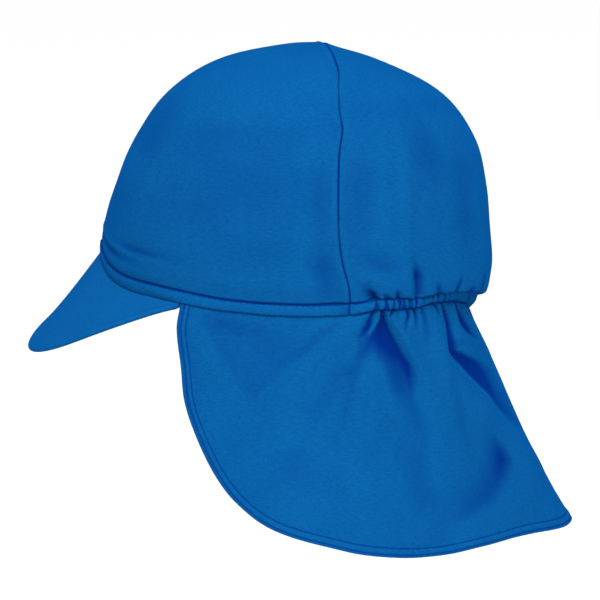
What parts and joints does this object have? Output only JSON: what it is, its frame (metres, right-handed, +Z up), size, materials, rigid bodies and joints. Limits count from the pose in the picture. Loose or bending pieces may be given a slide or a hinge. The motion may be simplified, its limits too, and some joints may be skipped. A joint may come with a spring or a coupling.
{
  "type": "sun hat",
  "caption": "Child's sun hat in smooth stretch cloth: soft crown gathered by elastic at the back, short curved peak, and a hemmed neck flap that hangs from the rim round the sides and back.",
  "frame": {"origin": "middle of the head opening, at the lower edge of the headband at the sides", "axes": "+Z up through the crown, -Y forward along the peak, +X to the wearer's left"},
  "size_m": [0.1628, 0.2756, 0.2463],
  "materials": {
    "panel_cloth": "smooth knitted stretch cloth, royal blue, low sheen",
    "band_cloth": "the same cloth folded double and stitched in the same blue",
    "peak_cloth": "the same cloth drawn smooth over a foam peak"
  },
  "bodies": {
    "root": {"crown_front": "panel_cloth", "crown_back": "panel_cloth", "headband": "band_cloth", "elastic_casing": "band_cloth", "peak": "peak_cloth", "neck_flap": "panel_cloth", "flap_hem": "band_cloth"}
  },
  "joints": []
}
